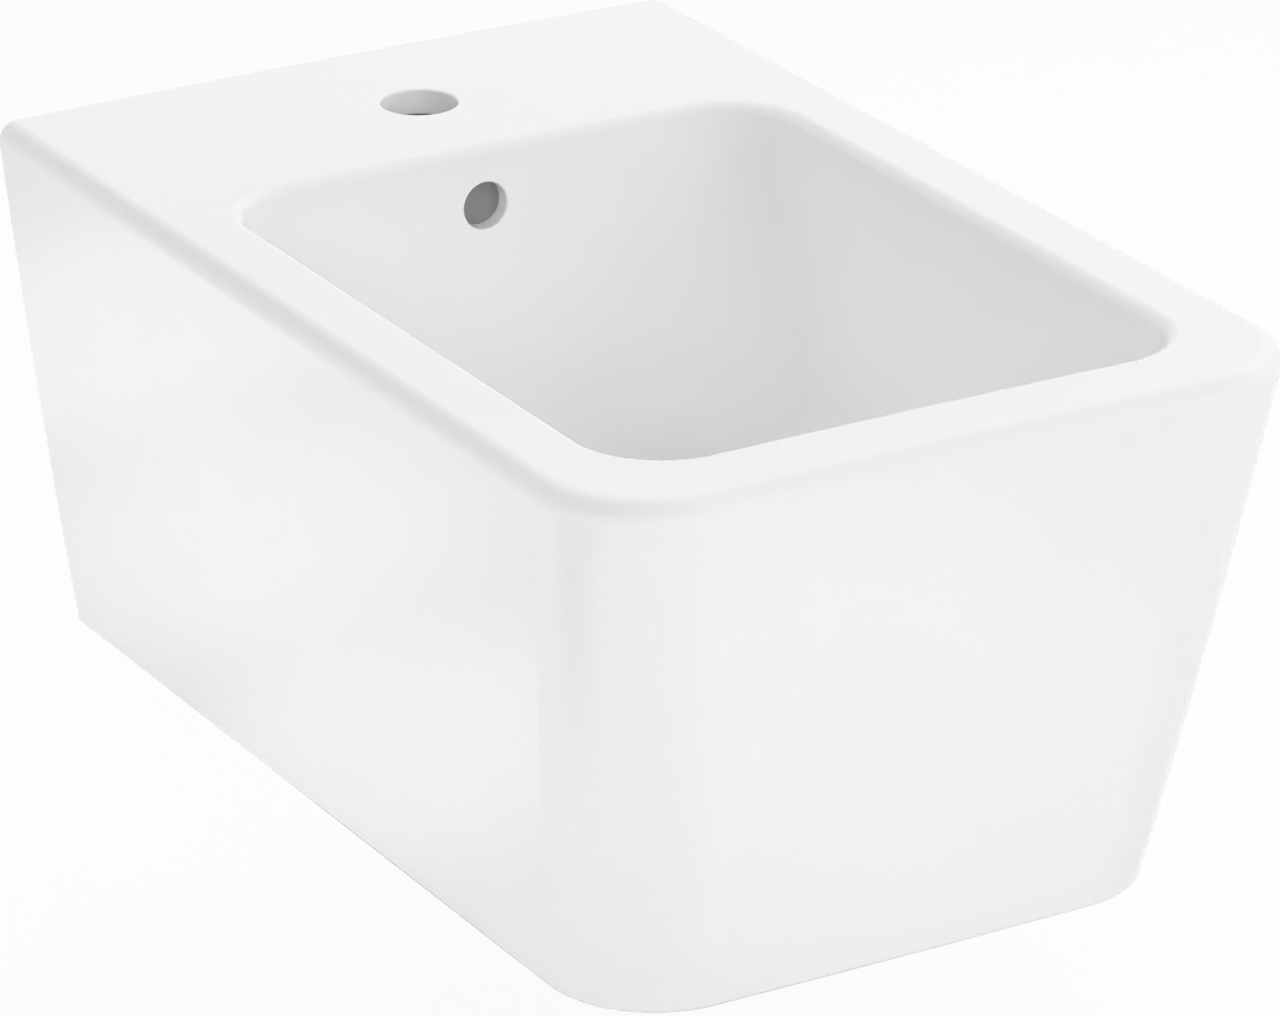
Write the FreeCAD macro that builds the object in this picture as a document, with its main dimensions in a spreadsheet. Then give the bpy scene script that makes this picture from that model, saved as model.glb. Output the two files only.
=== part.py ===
import FreeCAD, Part
import math
import os
import Sketcher
from FreeCAD import Placement, Rotation, Vector

# Wall-hung bidet: a china body with its push-open waste, bottle trap and wall fixings.
# Millimetres. The origin lies in the wall plane, midway between the two wall studs:
# X runs across, Y points into the wall and Z up, so the front of the bidet faces -Y.

SIZES = {
    # china body outside; the side edges of the deck lie at deck_above_studs
    "body_width": 352.8,
    "body_depth": 540.0,
    "body_height": 252.0,
    "deck_above_studs": 75.0,
    "side_draft": 33.1,
    "front_draft": 48.2,
    "side_bow": 1.5,
    "front_bow": 0.7,
    "plan_bow": 1.4,
    "deck_crown": 1.5,
    "corner_radius": 52.0,
    "top_edge_radius": 8.5,
    "foot_edge_radius": 2.0,
    # china walls and the hollow under the deck
    "skirt_wall": 10.0,
    "rear_wall": 14.0,
    "deck_thickness": 10.3,
    "hollow_edge_radius": 9.0,
    "pipe_arch_width": 110.0,
    "pipe_arch_height": 57.0,
    "pipe_arch_radius": 20.0,
    # bowl
    "bowl_width": 277.6,
    "bowl_to_wall": 137.5,
    "front_rim": 41.2,
    "bowl_depth": 159.0,
    "bowl_side_draft": 19.0,
    "bowl_rear_draft": 4.0,
    "bowl_front_draft": 22.0,
    "rim_corner_radius": 38.5,
    "floor_corner_radius": 72.0,
    "floor_edge_radius": 42.0,
    "floor_dish_radius": 2000.0,
    "rim_radius": 5.4,
    "bowl_wall": 9.0,
    # tap hole and overflow
    "tap_hole": 35.0,
    "tap_to_wall": 73.7,
    "overflow_hole": 22.0,
    "overflow_drop": 28.0,
    "overflow_shift": 1.6,
    "overflow_wall": 7.0,
    "hole_edge_radius": 1.0,
    "duct_width": 36.0,
    "duct_depth": 15.0,
    "duct_wall": 8.0,
    # drain hole in the bowl floor
    "drain_to_wall": 245.0,
    "drain_hole": 46.0,
    "drain_boss": 92.0,
    "drain_boss_height": 34.0,
    "recess_clearance": 1.5,
    "drain_flat": 80.0,
    # waste
    "flange_diameter": 63.0,
    "flange_thickness": 2.0,
    "flange_edge": 0.7,
    "top_seal_thickness": 2.0,
    "tail_diameter": 41.9,
    "tail_bore": 36.0,
    "tail_length": 62.0,
    "seat_mouth": 40.0,
    "seat_depth": 4.0,
    "web_drop": 35.0,
    "web_thickness": 5.0,
    "web_width": 7.0,
    "hub_diameter": 18.0,
    "slot_drop": 13.0,
    "slot_height": 14.0,
    "slot_width": 20.0,
    "lower_seal_diameter": 60.0,
    "lower_seal_thickness": 5.0,
    "slip_washer_thickness": 2.0,
    "back_nut_flats": 55.0,
    "back_nut_height": 8.0,
    # plug and its guide
    "plug_diameter": 62.0,
    "plug_edge": 3.0,
    "plug_dome": 2.5,
    "plug_seal_diameter": 59.0,
    "plug_seal_width": 5.5,
    "plug_seal_thickness": 1.5,
    "plug_boss": 16.0,
    "plug_boss_height": 7.0,
    "plug_boss_gap": 2.0,
    "stem_diameter": 10.0,
    "stem_spigot": 8.0,
    "stem_spigot_length": 6.0,
    "cartridge_diameter": 18.0,
    "cartridge_floor": 2.0,
    "cartridge_spigot": 8.0,
    "spigot_overhang": 3.0,
    "spring_height": 8.0,
    "spring_wire": 0.8,
    "spring_turns": 4,
    # bottle trap
    "pipe_diameter": 32.0,
    "pipe_wall": 1.8,
    "union_nut": 52.0,
    "union_seal": 2.5,
    "union_plate": 2.5,
    "inlet_flange": 2.0,
    "inlet_engagement": 10.0,
    "nut_gap": 3.0,
    "neck_diameter": 40.0,
    "neck_height": 12.0,
    "neck_engagement": 10.0,
    "barrel_diameter": 60.0,
    "barrel_wall": 2.5,
    "barrel_top": 3.0,
    "barrel_height": 54.0,
    "outlet_drop": 20.0,
    "outlet_neck": 22.0,
    "outlet_insertion": 15.0,
    "cup_wall": 3.0,
    "cup_overlap": 12.0,
    "cup_sump": 31.0,
    "cup_ring": 20.0,
    "cup_edge_radius": 6.0,
    "dip_gap": 14.0,
    "pipe_in_wall": 40.0,
    "spigot_diameter": 31.5,
    "spigot_gap": 1.0,
    "rosette_diameter": 66.0,
    "rosette_height": 12.0,
    "rosette_wall": 1.5,
    "rosette_slope": 6.0,
    "rosette_crest": 3.0,
    "flutes": 12,
    "flute_diameter": 7.0,
    "flute_depth": 1.2,
    # wall fixings
    "stud_spacing": 180.0,
    "stud_diameter": 12.0,
    "stud_chamfer": 1.0,
    "stud_nut_end": 10.86,
    "stud_neck": 10.4,
    "stud_neck_length": 2.0,
    "stud_in_wall": 40.0,
    "stud_past_nut": 10.0,
    "stud_boss": 46.0,
    "stud_boss_height": 6.0,
    "sleeve_diameter": 20.0,
    "sleeve_flange_diameter": 34.0,
    "sleeve_flange": 3.0,
    "fixing_washer": 30.0,
    "fixing_washer_thickness": 2.5,
    "fixing_nut_flats": 18.0,
    "fixing_nut_height": 10.0,
    # fits
    "thread_clearance": 0.15,
    "running_clearance": 0.06,
    "seat_clearance": 0.3,
}

UP = Rotation()
TO_WALL = Rotation(Vector(1, 0, 0), -90)
FULL_TURN = 360
QUARTER_TURNS = 4
CUT_MARGIN = 5


class Size:
    """A length with its value and the sheet expression that gives it."""

    def __init__(self, value, text):
        self.value = value
        self.text = text

    @staticmethod
    def of(item):
        if isinstance(item, Size):
            return item
        return Size(float(item), f"({float(item)!r})")

    def combine(self, other, sign, value):
        return Size(value, f"({self.text} {sign} {other.text})")

    def __add__(self, other):
        other = Size.of(other)
        return self.combine(other, "+", self.value + other.value)

    def __sub__(self, other):
        other = Size.of(other)
        return self.combine(other, "-", self.value - other.value)

    def __mul__(self, other):
        other = Size.of(other)
        return self.combine(other, "*", self.value * other.value)

    def __truediv__(self, other):
        other = Size.of(other)
        return self.combine(other, "/", self.value / other.value)

    def __neg__(self):
        return Size(-self.value, f"(0 - {self.text})")

    def root(self):
        return Size(math.sqrt(self.value), f"sqrt({self.text})")


class Sheet:
    """Reads a cell of the sheet as a Size, by its alias."""

    def __getattr__(self, alias):
        return Size(float(SIZES[alias]), f"Sizes.{alias}")


doc = FreeCAD.newDocument("WallHungBidet")
cells = doc.addObject("Spreadsheet::Sheet", "Sizes")
for row, (alias, value) in enumerate(SIZES.items(), start=1):
    cells.set(f"A{row}", alias)
    cells.set(f"B{row}", str(value))
    cells.setAlias(f"B{row}", alias)
doc.recompute()

sizes = Sheet()
NONE = Size.of(0)
DECK = sizes.deck_above_studs
FOOT = DECK - sizes.body_height
FLOOR = DECK - sizes.bowl_depth
DRAIN_Y = -sizes.drain_to_wall


# drawing and features

def new_body(label):
    body = doc.addObject("PartDesign::Body", label)
    body.Label = label
    return body


def new_sketch(body, plane, offset=NONE):
    """Sketch on an origin plane of its body, moved along the plane's normal."""
    sketch = body.newObject("Sketcher::SketchObject", f"{body.Name}_outline")
    origin = next(item for item in body.Origin.OriginFeatures if item.Role == plane)
    sketch.AttachmentSupport = [(origin, "")]
    sketch.MapMode = "FlatFace"
    sketch.AttachmentOffset = Placement(Vector(0, 0, offset.value), Rotation())
    sketch.setExpression("AttachmentOffset.Base.z", offset.text)
    return sketch


def bind(sketch, constraint, size):
    index = sketch.addConstraint(constraint)
    sketch.setExpression(f"Constraints[{index}]", size.text)


def arc_between(start, end, radius):
    """Arc that turns left from start to end."""
    chord = end - start
    middle = (start + end) * 0.5
    left = Vector(-chord.y, chord.x, 0).normalize()
    centre = middle + left * math.sqrt(max(radius**2 - (chord.Length / 2)**2, 0))
    first = math.atan2(start.y - centre.y, start.x - centre.x)
    last = math.atan2(end.y - centre.y, end.x - centre.x)
    if last < first:
        last += math.tau
    return Part.ArcOfCircle(Part.Circle(centre, Vector(0, 0, 1), radius), first, last)


def draw(sketch, corners):
    """Closed outline through (x, y) corners; a third entry is the radius of a left-turning
    arc to the next corner."""
    first = sketch.GeometryCount
    spots = [Vector(Size.of(corner[0]).value, Size.of(corner[1]).value, 0) for corner in corners]
    following = spots[1:] + spots[:1]
    for corner, start, end in zip(corners, spots, following):
        if len(corner) > 2:
            sketch.addGeometry(arc_between(start, end, corner[2].value), False)
        else:
            sketch.addGeometry(Part.LineSegment(start, end), False)
    for step, corner in enumerate(corners):
        edge = first + step
        next_edge = first + (step + 1) % len(corners)
        sketch.addConstraint(Sketcher.Constraint("Coincident", edge, 2, next_edge, 1))
        across, along = Size.of(corner[0]), Size.of(corner[1])
        bind(sketch, Sketcher.Constraint("DistanceX", -1, 1, edge, 1, across.value), across)
        bind(sketch, Sketcher.Constraint("DistanceY", -1, 1, edge, 1, along.value), along)
        if len(corner) > 2:
            bind(sketch, Sketcher.Constraint("Radius", edge, corner[2].value), corner[2])


def draw_circle(sketch, x, y, radius):
    centre = Vector(Size.of(x).value, Size.of(y).value, 0)
    edge = sketch.addGeometry(Part.Circle(centre, Vector(0, 0, 1), radius.value), False)
    bind(sketch, Sketcher.Constraint("DistanceX", -1, 1, edge, 3, centre.x), Size.of(x))
    bind(sketch, Sketcher.Constraint("DistanceY", -1, 1, edge, 3, centre.y), Size.of(y))
    bind(sketch, Sketcher.Constraint("Radius", edge, radius.value), radius)


def rectangle(left, right, low, high):
    return [(left, low), (right, low), (right, high), (left, high)]


def rounded(left, right, low, high, radius):
    """Corners of a rounded rectangle, with an arc after every second corner."""
    return [
        (left + radius, low), (right - radius, low, radius),
        (right, low + radius), (right, high - radius, radius),
        (right - radius, high), (left + radius, high, radius),
        (left, high - radius), (left, low + radius, radius),
    ]


def hexagon(flats):
    side = flats / 3**0.5
    return [
        (side, NONE), (side / 2, flats / 2), (-side / 2, flats / 2),
        (-side, NONE), (-side / 2, -flats / 2), (side / 2, -flats / 2),
    ]


def add_feature(body, kind, sketch):
    feature = body.newObject(f"PartDesign::{kind}", f"{body.Name}_{kind}")
    feature.Profile = sketch
    return feature


def extrude(body, kind, sketch, length, reverse=False):
    """Pad or Pocket by a length, against the usual direction when reversed."""
    feature = add_feature(body, kind, sketch)
    feature.setExpression("Length", Size.of(length).text)
    feature.Reversed = reverse
    doc.recompute()
    return feature


def turn(body, kind, sketch):
    """Revolution or Groove about the vertical axis of the sketch."""
    feature = add_feature(body, kind, sketch)
    feature.ReferenceAxis = (sketch, ["V_Axis"])
    feature.Angle = FULL_TURN
    doc.recompute()
    return feature


def loft(body, outlines):
    """Loft through outlines, each a plane height with its corners."""
    sections = []
    for height, corners in outlines:
        sketch = new_sketch(body, "XY_Plane", height)
        draw(sketch, corners)
        sections.append(sketch)
    feature = add_feature(body, "AdditiveLoft", sections[0])
    feature.Sections = sections[1:]
    doc.recompute()
    return feature


def round_edges(body, radius, wanted):
    """Fillet on the edges of the body's last feature that the test wants."""
    base = body.Tip
    names = [f"Edge{number}" for number, edge in enumerate(base.Shape.Edges, start=1) if wanted(edge)]
    fillet = body.newObject("PartDesign::Fillet", f"{body.Name}_Fillet")
    fillet.Base = (base, names)
    fillet.setExpression("Radius", radius.text)
    doc.recompute()
    return fillet


def combine(body, kind, tool):
    boolean = body.newObject("PartDesign::Boolean", f"{body.Name}_{kind}")
    boolean.setObjects([tool])
    boolean.Type = kind
    doc.recompute()
    return boolean


def place(item, x, y, z, rotation=UP):
    item.Placement = Placement(Vector(x.value, y.value, z.value), rotation)
    for letter, size in (("x", x), ("y", y), ("z", z)):
        item.setExpression(f"Placement.Base.{letter}", size.text)
    doc.recompute()


def near(value, target, reach=0.5):
    return abs(value - target) < reach


# china body

def side_at(drop):
    """Half width of the outside at a drop below the deck."""
    share = drop / sizes.body_height
    bow = sizes.side_bow * 4 * share * (Size.of(1) - share)
    return sizes.body_width / 2 - sizes.side_draft * share + bow


def front_at(drop):
    """Distance of the front from the wall at a drop below the deck."""
    share = drop / sizes.body_height
    bow = sizes.front_bow * 4 * share * (Size.of(1) - share)
    return sizes.body_depth - sizes.front_draft * share + bow


def body_levels(first, last):
    return [first, sizes.body_height / 2, last]


def china_outside(body):
    """Tapered block with bowed sides, rounded front corners, a crowned deck and soft edges."""
    lift = sizes.deck_crown + CUT_MARGIN
    outlines = []
    for drop in body_levels(-lift, sizes.body_height):
        side = side_at(drop)
        corner_depth = front_at(drop) - sizes.plan_bow / 2
        front_radius = (side * side + sizes.plan_bow * sizes.plan_bow) / (sizes.plan_bow * 2)
        outlines.append((DECK - drop, [
            (-side, CUT_MARGIN), (-side, -corner_depth, front_radius), (side, -corner_depth),
            (side, CUT_MARGIN),
        ]))
    loft(body, outlines)
    middle = body_levels(NONE, sizes.body_height)[1]
    corner_x = side_at(middle).value
    corner_y = -front_at(middle).value
    round_edges(body, sizes.corner_radius, lambda edge: (
        near(abs(edge.CenterOfMass.x), corner_x, sizes.corner_radius.value)
        and near(edge.CenterOfMass.y, corner_y, sizes.corner_radius.value)))

    half = sizes.body_width / 2
    crown_radius = (half * half + sizes.deck_crown * sizes.deck_crown) / (sizes.deck_crown * 2)
    reach = half + CUT_MARGIN
    dip = crown_radius - (crown_radius * crown_radius - reach * reach).root()
    edge_height = DECK + sizes.deck_crown - dip
    sketch = new_sketch(body, "XZ_Plane")
    draw(sketch, [
        (reach, edge_height, crown_radius), (-reach, edge_height),
        (-reach, DECK + lift * 2), (reach, DECK + lift * 2),
    ])
    extrude(body, "Pocket", sketch, sizes.body_depth + CUT_MARGIN, True)

    sketch = new_sketch(body, "XZ_Plane")
    draw(sketch, rectangle(-reach, reach, FOOT - CUT_MARGIN, DECK + lift * 2))
    extrude(body, "Pocket", sketch, CUT_MARGIN * 2)

    deck_low = DECK.value - CUT_MARGIN
    foot_high = FOOT.value + CUT_MARGIN
    round_edges(body, sizes.top_edge_radius, lambda edge: (
        edge.BoundBox.ZMin > deck_low and edge.BoundBox.YMin < -CUT_MARGIN))
    round_edges(body, sizes.foot_edge_radius, lambda edge: (
        edge.BoundBox.ZMax < foot_high and edge.BoundBox.YMin < -CUT_MARGIN))


def china_hollow():
    """Space under the deck, inside the skirt and the rear wall, open below."""
    body = new_body("hollow_form")
    outlines = []
    for drop in body_levels(sizes.deck_thickness, sizes.body_height + CUT_MARGIN):
        side = side_at(drop) - sizes.skirt_wall
        front = front_at(drop) - sizes.skirt_wall
        outlines.append((DECK - drop, rectangle(-side, side, -front, -sizes.rear_wall)))
    loft(body, outlines)
    middle = sizes.body_height / 2
    corner_x = (side_at(middle) - sizes.skirt_wall).value
    corner_y = -(front_at(middle) - sizes.skirt_wall).value
    inner_radius = sizes.corner_radius - sizes.skirt_wall
    round_edges(body, inner_radius, lambda edge: (
        near(abs(edge.CenterOfMass.x), corner_x, inner_radius.value)
        and near(edge.CenterOfMass.y, corner_y, inner_radius.value)))
    ceiling = (DECK - sizes.deck_thickness).value
    round_edges(body, sizes.hollow_edge_radius, lambda edge: near(edge.BoundBox.ZMin, ceiling))
    return body


def bowl_outline(drop, wall):
    """Bowl outline at a drop below the deck, grown by a wall."""
    share = drop / sizes.bowl_depth
    side = sizes.bowl_width / 2 + wall - sizes.bowl_side_draft * share
    rear = -sizes.bowl_to_wall + wall - sizes.bowl_rear_draft * share
    front = -(sizes.body_depth - sizes.front_rim) - wall + sizes.bowl_front_draft * share
    radius_growth = (sizes.floor_corner_radius - sizes.rim_corner_radius) * share
    return rounded(-side, side, front, rear, sizes.rim_corner_radius + wall + radius_growth)


def bowl_form(label, wall, top):
    """Bowl space grown by a wall: tapered rounded walls on a dished, rounded floor."""
    body = new_body(label)
    base = FLOOR - wall - CUT_MARGIN
    loft(body, [(height, bowl_outline(DECK - height, wall)) for height in (top, base)])
    dish_radius = sizes.floor_dish_radius + wall
    flat = sizes.drain_flat / 2
    reach = sizes.body_depth
    rise = dish_radius - (dish_radius * dish_radius - (reach - flat) * (reach - flat)).root()
    low = FLOOR - wall
    sketch = new_sketch(body, "XZ_Plane", sizes.drain_to_wall)
    draw(sketch, [
        (NONE, low), (flat, low, dish_radius), (reach, low + rise),
        (reach, base - CUT_MARGIN), (NONE, base - CUT_MARGIN),
    ])
    turn(body, "Groove", sketch)
    floor_high = (low + rise).value
    round_edges(body, sizes.floor_edge_radius + wall, lambda edge: edge.BoundBox.ZMax < floor_high)
    return body


def china_additions(body):
    """Drain boss, overflow duct casing and stud bosses inside the hollow."""
    boss_low = FLOOR - sizes.drain_boss_height
    sketch = new_sketch(body, "XY_Plane", boss_low)
    draw_circle(sketch, NONE, DRAIN_Y, sizes.drain_boss / 2)
    extrude(body, "Pad", sketch, sizes.drain_boss_height - sizes.bowl_wall / 2)

    casing_side = sizes.duct_width / 2 + sizes.duct_wall
    casing_rear = -sizes.bowl_to_wall + sizes.overflow_wall + sizes.duct_depth + sizes.duct_wall
    sketch = new_sketch(body, "XY_Plane", boss_low)
    draw(sketch, rectangle(-casing_side, casing_side, -sizes.bowl_to_wall, casing_rear))
    extrude(body, "Pad", sketch, DECK - sizes.deck_thickness / 2 - boss_low)
    sketch = new_sketch(body, "XY_Plane", boss_low)
    draw(sketch, rectangle(-casing_side, casing_side, DRAIN_Y, -sizes.bowl_to_wall))
    extrude(body, "Pad", sketch, sizes.drain_boss_height - sizes.bowl_wall / 2)

    sketch = new_sketch(body, "XZ_Plane", sizes.rear_wall / 2)
    for side in (1, -1):
        draw_circle(sketch, sizes.stud_spacing / 2 * side, NONE, sizes.stud_boss / 2)
    extrude(body, "Pad", sketch, sizes.rear_wall / 2 + sizes.stud_boss_height)


def china_openings(body):
    """Tap hole, overflow hole and duct, drain hole, stud holes and pipe arch."""
    sketch = new_sketch(body, "XY_Plane", DECK + sizes.deck_crown + CUT_MARGIN)
    draw_circle(sketch, NONE, -sizes.tap_to_wall, sizes.tap_hole / 2)
    extrude(body, "Pocket", sketch, sizes.deck_thickness + sizes.deck_crown + CUT_MARGIN * 2)

    duct_side = sizes.duct_width / 2
    duct_front = -sizes.bowl_to_wall + sizes.overflow_wall
    duct_rear = duct_front + sizes.duct_depth
    duct_low = FLOOR - sizes.slot_drop - sizes.slot_height
    overflow_height = DECK - sizes.overflow_drop
    duct_high = overflow_height + sizes.overflow_hole / 2 + sizes.hole_edge_radius
    sketch = new_sketch(body, "XY_Plane", duct_high)
    draw(sketch, rectangle(-duct_side, duct_side, duct_front, duct_rear))
    extrude(body, "Pocket", sketch, duct_high - duct_low)
    sketch = new_sketch(body, "XY_Plane", duct_low + sizes.slot_height)
    draw(sketch, rectangle(-duct_side, duct_side, DRAIN_Y, duct_rear))
    extrude(body, "Pocket", sketch, sizes.slot_height)
    sketch = new_sketch(body, "XZ_Plane", sizes.bowl_to_wall + CUT_MARGIN)
    draw_circle(sketch, -sizes.overflow_shift, overflow_height, sizes.overflow_hole / 2)
    extrude(body, "Pocket", sketch, sizes.overflow_wall + sizes.duct_depth / 2 + CUT_MARGIN)

    recess = sizes.flange_thickness + sizes.top_seal_thickness
    sketch = new_sketch(body, "XY_Plane", FLOOR + CUT_MARGIN)
    draw_circle(sketch, NONE, DRAIN_Y, sizes.flange_diameter / 2 + sizes.recess_clearance)
    extrude(body, "Pocket", sketch, recess + CUT_MARGIN)
    sketch = new_sketch(body, "XY_Plane", FLOOR)
    draw_circle(sketch, NONE, DRAIN_Y, sizes.drain_hole / 2)
    extrude(body, "Pocket", sketch, sizes.drain_boss_height + CUT_MARGIN)

    sketch = new_sketch(body, "XZ_Plane", sizes.rear_wall + sizes.stud_boss_height + CUT_MARGIN)
    for side in (1, -1):
        hole = sizes.sleeve_diameter / 2 + sizes.seat_clearance
        draw_circle(sketch, sizes.stud_spacing / 2 * side, NONE, hole)
    extrude(body, "Pocket", sketch, sizes.rear_wall + sizes.stud_boss_height + CUT_MARGIN * 2)
    arch_side = sizes.pipe_arch_width / 2
    arch_radius = sizes.pipe_arch_radius
    arch_top = FOOT + sizes.pipe_arch_height
    sketch = new_sketch(body, "XZ_Plane", sizes.rear_wall + CUT_MARGIN)
    draw(sketch, [
        (-arch_side, FOOT - CUT_MARGIN), (arch_side, FOOT - CUT_MARGIN),
        (arch_side, arch_top - arch_radius, arch_radius), (arch_side - arch_radius, arch_top),
        (-arch_side + arch_radius, arch_top, arch_radius), (-arch_side, arch_top - arch_radius),
    ])
    extrude(body, "Pocket", sketch, sizes.rear_wall + CUT_MARGIN * 2)


def china_soft_edges(body):
    """Rounded rim, tap hole edge and overflow edge."""
    deck_low = DECK.value - CUT_MARGIN
    rim_rear = -(sizes.bowl_to_wall - sizes.rim_radius).value
    rim_side = (sizes.bowl_width / 2 + sizes.rim_radius).value
    rim_front = -(sizes.body_depth - sizes.front_rim + sizes.rim_radius).value

    def on_rim(edge):
        box = edge.BoundBox
        inside = abs(edge.CenterOfMass.x) < rim_side and rim_front < edge.CenterOfMass.y < rim_rear
        return box.ZMin > deck_low and inside

    def on_tap_hole(edge):
        reach = sizes.tap_hole.value / 2
        return (edge.BoundBox.ZMin > deck_low and abs(edge.CenterOfMass.x) < reach
                and near(edge.CenterOfMass.y, -sizes.tap_to_wall.value, reach))

    overflow_height = (DECK - sizes.overflow_drop).value
    overflow_x = -sizes.overflow_shift.value

    def on_overflow(edge):
        box = edge.BoundBox
        return (near(box.Center.z, overflow_height) and near(box.Center.x, overflow_x)
                and near(box.ZLength, sizes.overflow_hole.value)
                and box.YMax < -(sizes.bowl_to_wall - sizes.overflow_wall / 2).value)

    round_edges(body, sizes.rim_radius, on_rim)
    round_edges(body, sizes.hole_edge_radius, on_tap_hole)
    round_edges(body, sizes.hole_edge_radius, on_overflow)


def make_china():
    body = new_body("ceramic_body")
    china_outside(body)
    combine(body, "Cut", china_hollow())
    combine(body, "Fuse", bowl_form("bowl_shell_form", sizes.bowl_wall, DECK - sizes.deck_thickness / 2))
    china_additions(body)
    combine(body, "Cut", bowl_form("bowl_space_form", NONE, DECK + sizes.deck_crown + CUT_MARGIN))
    china_openings(body)
    china_soft_edges(body)
    return [body]


# turned pieces

def turned(label, profile, x=NONE, y=NONE, z=NONE, rotation=UP):
    """Piece turned about its own Z axis from a profile of (radius, height) corners."""
    body = new_body(label)
    sketch = new_sketch(body, "XZ_Plane")
    draw(sketch, profile)
    turn(body, "Revolution", sketch)
    place(body, x, y, z, rotation)
    return body


def ring(label, outer, inner, low, high, **where):
    return turned(label, [(inner, low), (outer, low), (outer, high), (inner, high)], **where)


def flute(body, radius, low, high):
    """Grip flutes around a turned nut."""
    sketch = new_sketch(body, "XY_Plane", low)
    reach = radius + sizes.flute_diameter / 2 - sizes.flute_depth
    draw_circle(sketch, reach, NONE, sizes.flute_diameter / 2)
    cut = extrude(body, "Pocket", sketch, high - low, True)
    pattern = body.newObject("PartDesign::PolarPattern", f"{body.Name}_Pattern")
    pattern.Originals = [cut]
    pattern.Axis = (sketch, ["N_Axis"])
    pattern.Angle = FULL_TURN
    pattern.setExpression("Occurrences", sizes.flutes.text)
    body.Tip = pattern
    doc.recompute()


def union_nut(label, thread, bore, low, high, plate_low, **where):
    """Fluted nut: a threaded skirt from low to high with a plate at plate_low."""
    outer = sizes.union_nut / 2
    plate_high = plate_low + sizes.union_plate
    if plate_low.value < (low + high).value / 2:
        profile = [(bore, plate_low), (outer, plate_low), (outer, high), (thread, high),
                   (thread, plate_high), (bore, plate_high)]
    else:
        profile = [(thread, low), (outer, low), (outer, plate_high), (bore, plate_high),
                   (bore, plate_low), (thread, plate_low)]
    body = turned(label, profile, **where)
    bottom = min(low, plate_low, key=lambda size: size.value)
    top = max(high, plate_high, key=lambda size: size.value)
    flute(body, outer, bottom, top)
    return body


# push-open waste

TAIL = sizes.tail_diameter / 2
TAIL_CLEAR = TAIL + sizes.thread_clearance
BOSS_LOW = FLOOR - sizes.drain_boss_height
TAIL_END = FLOOR - sizes.tail_length
WEB_TOP = FLOOR - sizes.web_drop
ON_DRAIN = {"y": DRAIN_Y}


def make_waste_body():
    bore = sizes.tail_bore / 2
    flange = sizes.flange_diameter / 2
    edge = sizes.flange_edge
    under = FLOOR - sizes.flange_thickness
    body = turned("waste_body", [
        (bore, TAIL_END), (TAIL, TAIL_END), (TAIL, under), (flange, under),
        (flange, FLOOR - edge), (flange - edge, FLOOR), (sizes.seat_mouth / 2, FLOOR),
        (bore, FLOOR - sizes.seat_depth),
    ], **ON_DRAIN)
    web_low = WEB_TOP - sizes.web_thickness
    sketch = new_sketch(body, "XY_Plane", web_low)
    reach = (bore + TAIL) / 2
    draw(sketch, rectangle(-reach, reach, -sizes.web_width / 2, sizes.web_width / 2))
    extrude(body, "Pad", sketch, sizes.web_thickness)
    sketch = new_sketch(body, "XY_Plane", web_low)
    draw_circle(sketch, NONE, NONE, sizes.hub_diameter / 2)
    extrude(body, "Pad", sketch, sizes.web_thickness)
    sketch = new_sketch(body, "XY_Plane", WEB_TOP)
    draw_circle(sketch, NONE, NONE, sizes.cartridge_spigot / 2 + sizes.running_clearance)
    extrude(body, "Pocket", sketch, sizes.web_thickness)
    slot_top = FLOOR - sizes.slot_drop
    sketch = new_sketch(body, "XZ_Plane", -TAIL - CUT_MARGIN)
    draw(sketch, rectangle(
        -sizes.slot_width / 2, sizes.slot_width / 2, slot_top - sizes.slot_height, slot_top))
    extrude(body, "Pocket", sketch, (TAIL + CUT_MARGIN) * 2, True)
    return body


def make_waste():
    seal_bottom = BOSS_LOW - sizes.lower_seal_thickness
    washer_bottom = seal_bottom - sizes.slip_washer_thickness
    recess = FLOOR - sizes.flange_thickness
    lower = sizes.lower_seal_diameter / 2
    taper = sizes.lower_seal_thickness / 2
    lower_seal = [(TAIL_CLEAR, seal_bottom), (lower, seal_bottom), (lower, BOSS_LOW - taper),
                  (lower - taper, BOSS_LOW), (TAIL_CLEAR, BOSS_LOW)]
    nut = new_body("waste_back_nut")
    sketch = new_sketch(nut, "XY_Plane", washer_bottom)
    draw(sketch, hexagon(sizes.back_nut_flats))
    draw_circle(sketch, NONE, NONE, TAIL_CLEAR)
    extrude(nut, "Pad", sketch, sizes.back_nut_height, True)
    place(nut, NONE, DRAIN_Y, NONE)
    return [
        make_waste_body(),
        ring("waste_top_seal", sizes.flange_diameter / 2, TAIL_CLEAR,
             recess - sizes.top_seal_thickness, recess, **ON_DRAIN),
        turned("waste_lower_seal", lower_seal, **ON_DRAIN),
        ring("waste_slip_washer", lower, TAIL_CLEAR, washer_bottom, seal_bottom, **ON_DRAIN),
        nut,
    ]


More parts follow.
